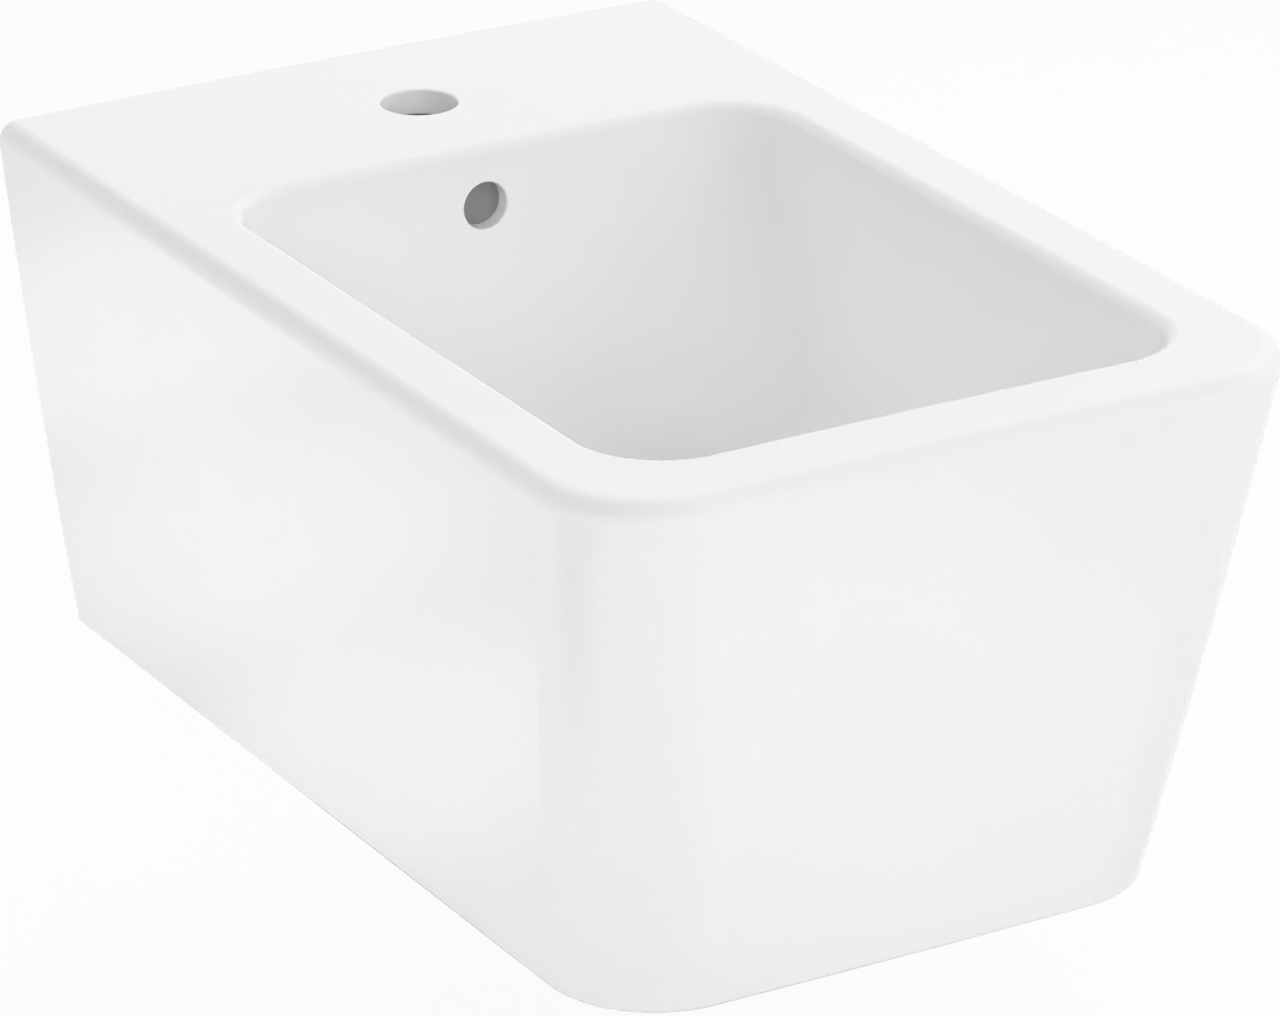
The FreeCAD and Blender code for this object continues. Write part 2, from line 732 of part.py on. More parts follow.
def make_plug():
    """Domed plug on its seal, with the stem that slides in the cartridge over a spring."""
    seal_low = FLOOR + sizes.seat_clearance
    cap_low = seal_low + sizes.plug_seal_thickness
    edge_high = cap_low + sizes.plug_edge
    cap = sizes.plug_diameter / 2
    boss = sizes.plug_boss / 2
    boss_low = cap_low - sizes.plug_boss_height
    dome_radius = (cap * cap + sizes.plug_dome * sizes.plug_dome) / (sizes.plug_dome * 2)
    spigot = sizes.stem_spigot / 2
    socket = spigot + sizes.running_clearance
    socket_high = boss_low + sizes.stem_spigot_length
    seal = sizes.plug_seal_diameter / 2
    stem = sizes.stem_diameter / 2
    guide = stem + sizes.running_clearance
    guide_high = boss_low - sizes.plug_boss_gap
    guide_floor = WEB_TOP + sizes.cartridge_floor
    stem_low = guide_floor + sizes.spring_height
    post = sizes.cartridge_spigot / 2
    post_low = WEB_TOP - sizes.web_thickness - sizes.spigot_overhang
    casing = sizes.cartridge_diameter / 2
    return [
        turned("plug_cap", [
            (NONE, socket_high), (socket, socket_high), (socket, boss_low), (boss, boss_low),
            (boss, cap_low), (cap, cap_low), (cap, edge_high, dome_radius),
            (NONE, edge_high + sizes.plug_dome),
        ], **ON_DRAIN),
        ring("plug_seal", seal, seal - sizes.plug_seal_width, seal_low, cap_low, **ON_DRAIN),
        turned("plug_stem", [
            (NONE, stem_low), (stem, stem_low), (stem, boss_low), (spigot, boss_low),
            (spigot, socket_high), (NONE, socket_high),
        ], **ON_DRAIN),
        turned("click_cartridge", [
            (NONE, post_low), (post, post_low), (post, WEB_TOP), (casing, WEB_TOP),
            (casing, guide_high), (guide, guide_high), (guide, guide_floor), (NONE, guide_floor),
        ], **ON_DRAIN),
        make_spring(guide_floor, stem_low),
    ]


def tangent_arc(start, control, end):
    """Arc from start to end, tangent to both lines through the control point."""
    middle = (start + end) * 0.5
    rise = control - middle
    half = (end - start).Length / 2
    sagitta = half * math.tan(math.atan2(rise.Length, half) / 2)
    return Part.Arc(start, middle + rise.normalize() * sagitta, end).toShape()


def biarc(start, start_way, end, end_way):
    """Two arcs that join two points with their directions."""
    span = end - start
    ways = start_way + end_way
    bend = 2 * (1 - start_way.dot(end_way))
    pull = span.dot(ways)
    reach = (math.sqrt(pull**2 + bend * span.dot(span)) - pull) / bend
    first = start + start_way * reach
    second = end - end_way * reach
    joint = (first + second) * 0.5
    return [tangent_arc(start, first, joint), tangent_arc(joint, second, end)]


def make_spring(low, high):
    """Round-wire spring between the cartridge floor and the stem."""
    wire = sizes.spring_wire.value
    turns = sizes.spring_turns.value
    radius = sizes.stem_diameter.value / 2 - wire
    bottom = low.value + wire / 2 + sizes.running_clearance.value
    climb = high.value - low.value - wire - 2 * sizes.running_clearance.value
    steps = round(turns * QUARTER_TURNS)

    def spot(step):
        angle = step * math.pi / 2
        return Vector(radius * math.cos(angle), radius * math.sin(angle), bottom + climb * step / steps)

    def way(step):
        angle = step * math.pi / 2
        flat = Vector(-radius * math.sin(angle), radius * math.cos(angle), 0)
        return (flat + Vector(0, 0, climb / steps / (math.pi / 2))).normalize()

    edges = []
    for step in range(steps):
        edges += biarc(spot(step), way(step), spot(step + 1), way(step + 1))
    section = Part.Wire(Part.makeCircle(wire / 2, spot(0), way(0)))
    spring = doc.addObject("Part::Feature", "click_spring")
    spring.Label = "click_spring"
    spring.Shape = Part.Wire(edges).makePipeShell([section], True, False)
    place(spring, NONE, DRAIN_Y, NONE)
    print("spring gap between turns:", round(climb / turns - wire, 3), "mm")
    return spring


# bottle trap

PIPE = sizes.pipe_diameter / 2
PIPE_CLEAR = PIPE + sizes.thread_clearance
PIPE_BORE = PIPE - sizes.pipe_wall
NECK = sizes.neck_diameter / 2
NECK_CLEAR = NECK + sizes.thread_clearance
BARREL = sizes.barrel_diameter / 2
BARREL_BORE = BARREL - sizes.barrel_wall
INLET_NUT_LOW = TAIL_END - sizes.union_seal - sizes.inlet_flange - sizes.union_plate
TUBE_PLATE_LOW = INLET_NUT_LOW - sizes.nut_gap - sizes.union_plate
NECK_TOP = TUBE_PLATE_LOW - sizes.union_seal
BARREL_TOP = NECK_TOP - sizes.neck_height
BARREL_LOW = BARREL_TOP - sizes.barrel_height
OUTLET_Z = BARREL_TOP - sizes.outlet_drop
OUTLET_END = BARREL + sizes.outlet_neck
CUP_FLOOR = BARREL_LOW - sizes.cup_sump
TO_OUTLET = {"y": DRAIN_Y, "z": OUTLET_Z, "rotation": TO_WALL}


def make_trap_body():
    """Barrel with a neck for the dip tube on top and a branch to the wall."""
    body = turned("trap_body", [
        (NONE, BARREL_LOW), (BARREL, BARREL_LOW), (BARREL, BARREL_TOP), (NECK, BARREL_TOP),
        (NECK, NECK_TOP), (NONE, NECK_TOP),
    ], **ON_DRAIN)
    sketch = new_sketch(body, "XZ_Plane")
    draw_circle(sketch, NONE, OUTLET_Z, NECK)
    extrude(body, "Pad", sketch, OUTLET_END, True)
    ceiling = BARREL_TOP - sizes.barrel_top
    sketch = new_sketch(body, "XZ_Plane")
    draw(sketch, [
        (NONE, BARREL_LOW - CUT_MARGIN), (BARREL_BORE, BARREL_LOW - CUT_MARGIN),
        (BARREL_BORE, ceiling), (PIPE_CLEAR, ceiling), (PIPE_CLEAR, NECK_TOP + CUT_MARGIN),
        (NONE, NECK_TOP + CUT_MARGIN),
    ])
    turn(body, "Groove", sketch)
    sketch = new_sketch(body, "XZ_Plane")
    draw_circle(sketch, NONE, OUTLET_Z, PIPE_BORE)
    extrude(body, "Pocket", sketch, OUTLET_END + CUT_MARGIN)
    sketch = new_sketch(body, "XZ_Plane", -(OUTLET_END - sizes.outlet_insertion))
    draw_circle(sketch, NONE, OUTLET_Z, PIPE_CLEAR)
    extrude(body, "Pocket", sketch, sizes.outlet_insertion + CUT_MARGIN)
    return body


def make_trap_cup():
    """Cup screwed over the barrel, with a ledge for its seal."""
    thread = BARREL + sizes.thread_clearance
    collar = thread + sizes.cup_wall
    well = BARREL_BORE + sizes.cup_wall
    ledge = BARREL_LOW - sizes.union_seal
    rim = BARREL_LOW + sizes.cup_overlap
    step = rim - sizes.cup_ring
    bottom = CUP_FLOOR - sizes.cup_wall
    edge = sizes.cup_edge_radius
    body = turned("trap_cup", [
        (NONE, bottom), (well - edge, bottom, edge), (well, bottom + edge), (well, step),
        (collar, step), (collar, rim), (thread, rim), (thread, ledge), (BARREL_BORE, ledge),
        (BARREL_BORE, CUP_FLOOR), (NONE, CUP_FLOOR),
    ], **ON_DRAIN)
    flute(body, collar, step, rim)
    return body


def make_trap():
    inlet_seal_low = TAIL_END - sizes.union_seal
    inlet_flange_low = inlet_seal_low - sizes.inlet_flange
    dip_end = CUP_FLOOR + sizes.dip_gap
    inlet_top = TAIL_END + sizes.inlet_engagement
    tube_plate_high = TUBE_PLATE_LOW + sizes.union_plate
    outlet_plate = OUTLET_END + sizes.union_seal
    pipe_start = OUTLET_END - sizes.outlet_insertion
    wall = sizes.drain_to_wall
    rosette = sizes.rosette_diameter / 2
    collar = PIPE_CLEAR + sizes.rosette_wall
    crest = wall - sizes.rosette_height
    slope = sizes.rosette_slope
    return [
        union_nut("trap_inlet_nut", TAIL_CLEAR, PIPE_CLEAR, INLET_NUT_LOW, inlet_top, INLET_NUT_LOW,
                  **ON_DRAIN),
        ring("trap_inlet_seal", TAIL, PIPE_BORE, inlet_seal_low, TAIL_END, **ON_DRAIN),
        turned("trap_inlet_tube", [
            (PIPE_BORE, dip_end), (PIPE, dip_end), (PIPE, inlet_flange_low), (TAIL, inlet_flange_low),
            (TAIL, inlet_seal_low), (PIPE_BORE, inlet_seal_low),
        ], **ON_DRAIN),
        union_nut("trap_tube_nut", NECK_CLEAR, PIPE_CLEAR, NECK_TOP - sizes.neck_engagement,
                  tube_plate_high, TUBE_PLATE_LOW, **ON_DRAIN),
        ring("trap_tube_seal", NECK, PIPE_CLEAR, NECK_TOP, TUBE_PLATE_LOW, **ON_DRAIN),
        make_trap_body(),
        make_trap_cup(),
        ring("trap_cup_seal", BARREL, BARREL_BORE, BARREL_LOW - sizes.union_seal, BARREL_LOW,
             **ON_DRAIN),
        union_nut("trap_outlet_nut", NECK_CLEAR, PIPE_CLEAR, OUTLET_END - sizes.neck_engagement,
                  outlet_plate + sizes.union_plate, outlet_plate, **TO_OUTLET),
        ring("trap_outlet_seal", NECK, PIPE_CLEAR, OUTLET_END, outlet_plate, **TO_OUTLET),
        turned("trap_outlet_pipe", [
            (PIPE_BORE, pipe_start), (PIPE, pipe_start), (PIPE, wall + sizes.spigot_gap),
            (sizes.spigot_diameter / 2, wall + sizes.spigot_gap),
            (sizes.spigot_diameter / 2, wall + sizes.pipe_in_wall),
            (PIPE_BORE, wall + sizes.pipe_in_wall),
        ], **TO_OUTLET),
        turned("wall_rosette", [
            (rosette - sizes.rosette_wall, wall), (rosette, wall),
            (collar + slope, crest + sizes.rosette_crest), (collar, crest),
            (PIPE_CLEAR, crest), (PIPE_CLEAR, crest + slope),
        ], **TO_OUTLET),
    ]


# wall fixings

def pair(label, body):
    """A piece at the right stud and its mirror at the left one."""
    mirror = doc.addObject("Part::Mirroring", f"{label}_left")
    mirror.Source = body
    mirror.Normal = Vector(1, 0, 0)
    both = doc.addObject("Part::Compound", label)
    both.Label = label
    both.Links = [body, mirror]
    doc.recompute()
    return both


def make_fixings():
    """Studs through the rear wall, each with a sleeve, a washer and a nut."""
    stud = sizes.stud_diameter / 2
    nut_end_radius = sizes.stud_nut_end / 2
    neck = sizes.stud_neck / 2
    neck_end = sizes.stud_neck_length
    loose = stud + sizes.seat_clearance
    sleeve = sizes.sleeve_diameter / 2
    seat = -(sizes.rear_wall + sizes.stud_boss_height)
    flange = seat - sizes.sleeve_flange
    washer = flange - sizes.fixing_washer_thickness
    nut_end = washer - sizes.fixing_nut_height
    chamfer = sizes.stud_chamfer
    tip = nut_end - sizes.stud_past_nut
    on_stud = {"x": sizes.stud_spacing / 2, "rotation": TO_WALL}

    nut = new_body("stud_nut_right")
    sketch = new_sketch(nut, "XY_Plane", nut_end)
    draw(sketch, hexagon(sizes.fixing_nut_flats))
    draw_circle(sketch, NONE, NONE, nut_end_radius + sizes.thread_clearance)
    extrude(nut, "Pad", sketch, sizes.fixing_nut_height)
    place(nut, on_stud["x"], NONE, NONE, TO_WALL)
    return [
        pair("wall_studs", turned("stud_right", [
            (NONE, tip), (nut_end_radius - chamfer, tip), (nut_end_radius, tip + chamfer),
            (nut_end_radius, NONE), (neck, NONE), (neck, neck_end), (stud, neck_end),
            (stud, sizes.stud_in_wall - chamfer), (stud - chamfer, sizes.stud_in_wall),
            (NONE, sizes.stud_in_wall),
        ], **on_stud)),
        pair("stud_sleeves", turned("sleeve_right", [
            (loose, flange), (sizes.sleeve_flange_diameter / 2, flange),
            (sizes.sleeve_flange_diameter / 2, seat), (sleeve, seat), (sleeve, NONE), (loose, NONE),
        ], **on_stud)),
        pair("stud_washers", ring(
            "washer_right", sizes.fixing_washer / 2, loose, washer, flange, **on_stud)),
        pair("stud_nuts", nut),
    ]


def check(parts):
    """Stops if any object failed or any piece has no valid solid."""
    for item in doc.Objects:
        if "Invalid" in item.State or "Error" in item.State:
            raise RuntimeError(f"{item.Label}: {item.State}")
    for part in parts:
        if part.Shape.isNull() or not part.Shape.isValid() or not part.Shape.Solids:
            raise RuntimeError(f"{part.Label}: no valid solid")


def main():
    parts = make_china() + make_waste() + make_plug() + make_trap() + make_fixings()
    doc.recompute()
    check(parts)
    os.makedirs("parts", exist_ok=True)
    for part in parts:
        part.Shape.exportStep(os.path.join("parts", f"{part.Label}.step"))
        print(part.Label, len(part.Shape.Solids), "solids", round(part.Shape.Volume), "mm3")


main()
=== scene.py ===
"""Looks of a wall-hung bidet: glazed china with its push-open waste, bottle trap and wall fixings.

Lengths are metres. X runs across, Y points into the wall and Z up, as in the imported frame.
"""

import logging
import math
from dataclasses import dataclass
from enum import Enum

import bmesh
import bpy
from mathutils import Matrix, Vector


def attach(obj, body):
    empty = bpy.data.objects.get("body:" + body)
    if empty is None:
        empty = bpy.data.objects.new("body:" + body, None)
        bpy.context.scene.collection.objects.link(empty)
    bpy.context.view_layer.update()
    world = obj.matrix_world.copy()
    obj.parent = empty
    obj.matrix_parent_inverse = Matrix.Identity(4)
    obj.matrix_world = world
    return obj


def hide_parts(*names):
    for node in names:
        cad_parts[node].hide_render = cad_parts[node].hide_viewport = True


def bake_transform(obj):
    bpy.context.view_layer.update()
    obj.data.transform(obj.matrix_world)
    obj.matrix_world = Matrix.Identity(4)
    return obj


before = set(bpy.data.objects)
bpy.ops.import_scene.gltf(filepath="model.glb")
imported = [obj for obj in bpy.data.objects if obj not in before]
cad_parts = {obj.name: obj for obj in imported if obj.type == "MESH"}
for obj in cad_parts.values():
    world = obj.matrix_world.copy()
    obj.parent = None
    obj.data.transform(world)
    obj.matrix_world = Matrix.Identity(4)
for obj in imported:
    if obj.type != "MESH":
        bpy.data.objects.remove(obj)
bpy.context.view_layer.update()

LOG = logging.getLogger("bidet")
Z_AXIS = Vector((0, 0, 1))
WELD = 1e-6
FULL_TURN = 2 * math.pi
CREASE = 35.0
FLAT_ANGLE = 0.5
DISC_STEPS = 96
WHITE = (1, 1, 1, 1)


class Body(Enum):
    """Bodies of the frame that pieces ride on."""

    BIDET = "bidet"
    PLUG = "plug"


class Slot(Enum):
    """Material slots of the record."""

    GLAZE = "glaze"
    CHROME = "chrome"
    BRASS = "brass"
    RUBBER = "rubber"
    WASHER = "washer_plastic"
    CARTRIDGE = "cartridge_plastic"
    SPRING = "spring_steel"
    TRAP = "trap_plastic"
    ZINC = "zinc"


class Relief(Enum):
    """Kinds of fine surface relief."""

    GRAIN = "grain_relief"
    LATHE = "lathe_relief"


class Glow(Enum):
    """Uses of a patch of floor: it lights the object, or it shows bright or dark in gloss alone."""

    LIGHT = "light"
    GLEAM = "gleam"
    SHADE = "shade"


# Shared shader effects


class Bench:
    """Places and joins nodes in one node tree."""

    def __init__(self, tree: bpy.types.NodeTree) -> None:
        """Starts on an emptied tree."""
        self.tree = tree
        self.tree.nodes.clear()

    def add(self, kind: str, inputs: dict[str | int, object] | None = None,
            **settings: object) -> bpy.types.Node:
        """Adds a node.

        Args:
            kind: Node type, without the ShaderNode prefix where it has one.
            inputs: Values for sockets, by name or index.
            settings: Properties of the node.

        Returns:
            The node.
        """
        node = self.tree.nodes.new(kind if kind.startswith("NodeGroup") else f"ShaderNode{kind}")
        for key, value in settings.items():
            setattr(node, key, value)
        for key, value in (inputs or {}).items():
            node.inputs[key].default_value = value
        return node

    def join(self, source: bpy.types.NodeSocket, target: bpy.types.NodeSocket) -> None:
        """Links one socket to another."""
        self.tree.links.new(source, target)


def new_group(name: str, inputs: dict[str, str], outputs: dict[str, str]) -> bpy.types.NodeTree:
    """Makes an empty shader group.

    Args:
        name: Name of the group.
        inputs: Socket types by input name.
        outputs: Socket types by output name.

    Returns:
        The group's tree.
    """
    tree = bpy.data.node_groups.new(name, "ShaderNodeTree")
    for side, sockets in (("INPUT", inputs), ("OUTPUT", outputs)):
        for socket, kind in sockets.items():
            tree.interface.new_socket(socket, in_out=side, socket_type=f"NodeSocket{kind}")
    return tree


def make_tone_drift() -> bpy.types.NodeTree:
    """Builds the slow drift between two tones of one colour.

    Returns:
        A group that puts out the colour and the drift's mask.
    """
    tree = new_group("tone_drift", {"Colour": "Color", "Tone": "Color", "Scale": "Float"},
                     {"Colour": "Color", "Mask": "Float"})
    bench = Bench(tree)
    given = bench.add("NodeGroupInput")
    result = bench.add("NodeGroupOutput")
    place = bench.add("TexCoord")
    noise = bench.add("TexNoise", {"Detail": 3.0, "Roughness": 0.55})
    spread = bench.add("MapRange", {"From Min": 0.32, "From Max": 0.68})
    mix = bench.add("Mix", data_type="RGBA")
    bench.join(place.outputs["Object"], noise.inputs["Vector"])
    bench.join(given.outputs["Scale"], noise.inputs["Scale"])
    bench.join(noise.outputs["Fac"], spread.inputs["Value"])
    bench.join(spread.outputs["Result"], mix.inputs["Factor"])
    bench.join(given.outputs["Colour"], mix.inputs["A"])
    bench.join(given.outputs["Tone"], mix.inputs["B"])
    bench.join(mix.outputs["Result"], result.inputs["Colour"])
    bench.join(spread.outputs["Result"], result.inputs["Mask"])
    return tree


def make_grain_relief() -> bpy.types.NodeTree:
    """Builds an even grain.

    Returns:
        A group that puts out the grain's height.
    """
    tree = new_group(Relief.GRAIN.value, {"Scale": "Float"}, {"Height": "Float"})
    bench = Bench(tree)
    given = bench.add("NodeGroupInput")
    result = bench.add("NodeGroupOutput")
    place = bench.add("TexCoord")
    noise = bench.add("TexNoise", {"Detail": 2.0, "Roughness": 0.5})
    bench.join(place.outputs["Object"], noise.inputs["Vector"])
    bench.join(given.outputs["Scale"], noise.inputs["Scale"])
    bench.join(noise.outputs["Fac"], result.inputs["Height"])
    return tree


def make_lathe_relief() -> bpy.types.NodeTree:
    """Builds the fine rings that turning leaves across the drain's axis.

    Returns:
        A group that puts out the rings' height.
    """
    tree = new_group(Relief.LATHE.value, {"Scale": "Float"}, {"Height": "Float"})
    bench = Bench(tree)
    given = bench.add("NodeGroupInput")
    result = bench.add("NodeGroupOutput")
    place = bench.add("TexCoord")
    rings = bench.add("TexWave", {"Distortion": 1.5, "Detail": 2.0, "Detail Scale": 2.0},
                      wave_type="BANDS", bands_direction="Z")
    bench.join(place.outputs["Object"], rings.inputs["Vector"])
    bench.join(given.outputs["Scale"], rings.inputs["Scale"])
    bench.join(rings.outputs["Fac"], result.inputs["Height"])
    return tree


TONE_DRIFT = make_tone_drift()
RELIEFS = {Relief.GRAIN: make_grain_relief(), Relief.LATHE: make_lathe_relief()}


# Finishes

Colour = tuple[float, float, float]


@dataclass(frozen=True)
class Finish:
    """A finish: a colour that drifts to a second tone, its gloss and a fine relief."""

    name: str
    colour: Colour
    tone: Colour
    tone_scale: float
    roughness: tuple[float, float]
    metallic: float = 0.0
    ior: float = 1.5
    coat: float = 0.0
    relief: Relief = Relief.GRAIN
    relief_scale: float = 600.0
    relief_strength: float = 0.1
    relief_depth: float = 0.0001

    def material(self) -> bpy.types.Material:
        """Makes the material, or finds it where it is already made.

        Returns:
            The material of this finish.
        """
        found = bpy.data.materials.get(self.name)
        if found:
            return found
        material = bpy.data.materials.new(self.name)
        material.use_nodes = True
        bench = Bench(material.node_tree)
        output = bench.add("OutputMaterial")
        skin = bench.add("BsdfPrincipled", {
            "Metallic": self.metallic, "IOR": self.ior, "Coat Weight": self.coat})
        drift = bench.add("Group", node_tree=TONE_DRIFT)
        drift.inputs["Colour"].default_value = (*self.colour, 1)
        drift.inputs["Tone"].default_value = (*self.tone, 1)
        drift.inputs["Scale"].default_value = self.tone_scale
        gloss = bench.add("MapRange", {"To Min": self.roughness[0], "To Max": self.roughness[1]})
        relief = bench.add("Group", node_tree=RELIEFS[self.relief])
        relief.inputs["Scale"].default_value = self.relief_scale
        bump = bench.add("Bump", {"Strength": self.relief_strength, "Distance": self.relief_depth})
        bench.join(drift.outputs["Colour"], skin.inputs["Base Color"])
        bench.join(drift.outputs["Mask"], gloss.inputs["Value"])
        bench.join(gloss.outputs["Result"], skin.inputs["Roughness"])
        bench.join(relief.outputs["Height"], bump.inputs["Height"])
        bench.join(bump.outputs["Normal"], skin.inputs["Normal"])
        bench.join(skin.outputs["BSDF"], output.inputs["Surface"])
        return material


GLAZE = Finish("white_glaze", (0.885, 0.885, 0.885), (0.872, 0.872, 0.872), 7.0, (0.07, 0.11),
               relief_scale=26.0, relief_strength=0.12, relief_depth=0.001)
RAW_CHINA = Finish("raw_china", (0.80, 0.785, 0.75), (0.74, 0.72, 0.68), 18.0, (0.62, 0.8),
                   relief_scale=900.0, relief_strength=0.35, relief_depth=0.0004)
CHROME = Finish("polished_chrome", (0.80, 0.81, 0.82), (0.74, 0.75, 0.765), 40.0, (0.05, 0.12),
                metallic=1.0, relief_scale=1500.0, relief_strength=0.03)
BRASS = Finish("turned_brass", (0.72, 0.55, 0.28), (0.62, 0.45, 0.21), 60.0, (0.24, 0.38),
               metallic=1.0, relief=Relief.LATHE, relief_scale=900.0, relief_strength=0.15)
RUBBER = Finish("black_rubber", (0.040, 0.040, 0.045), (0.058, 0.057, 0.060), 120.0, (0.62, 0.78),
                relief_scale=1800.0, relief_strength=0.25)
MILKY = Finish("milky_plastic", (0.82, 0.82, 0.79), (0.76, 0.76, 0.725), 70.0, (0.38, 0.5),
               relief_scale=900.0, relief_strength=0.12)
GUIDE_PLASTIC = Finish("grey_guide_plastic", (0.20, 0.21, 0.22), (0.16, 0.168, 0.178), 90.0, (0.42, 0.55),
                       relief_scale=1200.0, relief_strength=0.15)
SPRING_STEEL = Finish("drawn_wire", (0.55, 0.55, 0.56), (0.45, 0.45, 0.465), 300.0, (0.22, 0.36),
                      metallic=1.0, relief_scale=2500.0, relief_strength=0.08)
TRAP_PLASTIC = Finish("white_trap_plastic", (0.88, 0.88, 0.87), (0.845, 0.845, 0.83), 22.0, (0.24, 0.36),
                      relief_scale=260.0, relief_strength=0.10)
ZINC = Finish("bright_zinc", (0.62, 0.63, 0.65), (0.50, 0.515, 0.54), 160.0, (0.26, 0.46),
              metallic=1.0, relief_scale=700.0, relief_strength=0.12)


# Mesh tools


def add_piece(shape: bmesh.types.BMesh, name: str, finishes: list[Finish],
              body: Body | None, nodes: list[str], crease: float | None = CREASE) -> bpy.types.Object:
    """Makes a piece of the object from a finished mesh.

    Args:
        shape: The mesh, which is freed.
        name: Name of the piece.
        finishes: Its materials, in the order of the faces' material numbers.
        body: Body that it rides on, or None where it rides on none.
        nodes: Nodes of the frame that it stands for.
        crease: Angle in degrees from which an edge stays sharp, or None for the normals it has.

    Returns:
        The piece.
    """
    mesh = bpy.data.meshes.new(name)
    for face in shape.faces:
        face.smooth = True
    shape.to_mesh(mesh)
    shape.free()
    for finish in finishes:
        mesh.materials.append(finish.material())
    if crease is not None:
        mesh.set_sharp_from_angle(angle=math.radians(crease))
    piece = bpy.data.objects.new(name, mesh)
    bpy.context.scene.collection.objects.link(piece)
    if body is not None:
        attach(piece, body.value)
    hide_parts(*nodes)
    LOG.info("%s: %d faces", name, len(mesh.polygons))
    return piece


def merged_copy(node: str) -> bmesh.types.BMesh:
    """Copies the mesh of a node of the frame with its loose triangles joined.

    Args:
        node: Name of the node.

    Returns:
        The joined copy.
    """
    shape = bmesh.new()
    shape.from_mesh(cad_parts[node].data)
    bmesh.ops.remove_doubles(shape, verts=shape.verts, dist=WELD)
    return shape


def soften(shape: bmesh.types.BMesh, width: float, angle: float = 40.0, segments: int = 2) -> None:
    """Rounds the sharp outer and inner edges of a mesh.

    Args:
        shape: The mesh.
        width: Width of the rounding.
        angle: Angle in degrees from which an edge counts as sharp.
        segments: Steps across the rounding.
    """
    limit = math.radians(angle)
    sharp = [edge for edge in shape.edges if edge.is_manifold and edge.calc_face_angle(0.0) > limit]
    bmesh.ops.bevel(shape, geom=sharp, offset=width, offset_type="OFFSET", affect="EDGES",
                    segments=segments, profile=0.5, material=-1, clamp_overlap=True)


def rounded_copy(node: str, width: float) -> bmesh.types.BMesh:
    """Copies a node and rounds its sharp edges.

    Args:
        node: Name of the node.
        width: Width of the rounding.

    Returns:
        The rounded copy.
    """
    shape = merged_copy(node)
    flat = math.radians(FLAT_ANGLE)
    bmesh.ops.dissolve_limit(shape, angle_limit=flat, verts=shape.verts, edges=shape.edges)
    soften(shape, width)
    bmesh.ops.triangulate(shape, faces=[face for face in shape.faces if len(face.verts) > 4])
    return shape


def lathe(profile: list[tuple[float, float]], steps: int) -> bmesh.types.BMesh:
    """Turns a closed profile about Z.

    Args:
        profile: Corners as (radius, height), in order around the section.
        steps: Steps of the turn.

    Returns:
        The turned mesh.
    """
    shape = bmesh.new()
    corners = [shape.verts.new((radius, 0, height)) for radius, height in profile]
    edges = [shape.edges.new(pair) for pair in zip(corners, corners[1:] + corners[:1])]
    bmesh.ops.spin(shape, geom=corners + edges, cent=(0, 0, 0), axis=Z_AXIS, angle=FULL_TURN,
                   steps=steps, use_merge=True)
    bmesh.ops.remove_doubles(shape, verts=shape.verts, dist=WELD)
    bmesh.ops.dissolve_degenerate(shape, edges=shape.edges, dist=WELD)
    bmesh.ops.recalc_face_normals(shape, faces=shape.faces)
    return shape


def join_into(target: bmesh.types.BMesh, part: bmesh.types.BMesh, move: Matrix) -> None:
    """Adds one mesh to another.

    Args:
        target: The mesh that grows.
        part: The mesh that is added, which stays as it is.
        move: Where it goes.
    """
    scratch = bpy.data.meshes.new("scratch")
    part.to_mesh(scratch)
    scratch.transform(move)
    target.from_mesh(scratch)
    bpy.data.meshes.remove(scratch)


def screw_thread(crest: float, depth: float, pitch: float, low: float, high: float, chamfer: float,
                 steps: int = 30) -> bmesh.types.BMesh:
    """Builds a closed threaded rod along Z.

    Args:
        crest: Radius over the thread.
        depth: Depth of the thread.
        pitch: Rise in one turn.
        low: Lower end.
        high: Upper end.
        chamfer: Chamfer of both ends.
        steps: Steps in one turn.

    Returns:
        The rod.
    """
    shape = bmesh.new()
    spare_turns = 2
    root_end, crest_start, crest_end = 0.12, 0.5, 0.62
    root = crest - depth
    first = low - spare_turns * pitch
    turns = math.ceil((high - low) / pitch) + 2 * spare_turns
    section = [(root, 0.0), (root, root_end), (crest, crest_start), (crest, crest_end), (root, 1.0)]
    corners = [shape.verts.new((radius, 0, first + share * pitch)) for radius, share in section]
    edges = [shape.edges.new(pair) for pair in zip(corners, corners[1:])]
    bmesh.ops.spin(shape, geom=corners + edges, cent=(0, 0, 0), axis=Z_AXIS, dvec=(0, 0, pitch / steps),
                   angle=FULL_TURN * turns, steps=steps * turns)
    bmesh.ops.remove_doubles(shape, verts=shape.verts, dist=WELD)
    for height, normal in ((low, -Z_AXIS), (high, Z_AXIS)):
        geometry = shape.verts[:] + shape.edges[:] + shape.faces[:]
        cut = bmesh.ops.bisect_plane(shape, geom=geometry, dist=WELD, plane_co=(0, 0, height),
                                     plane_no=normal, clear_outer=True)
        rim = [item for item in cut["geom_cut"] if isinstance(item, bmesh.types.BMEdge)]
        bmesh.ops.edgeloop_fill(shape, edges=rim)
    for vertex in shape.verts:
        room = min(vertex.co.z - low, high - vertex.co.z)
        radius = vertex.co.xy.length
        limit = crest - chamfer + room
        if radius > limit:
            vertex.co.xy *= limit / radius
    bmesh.ops.recalc_face_normals(shape, faces=shape.faces)
    return shape


# Sub-assemblies


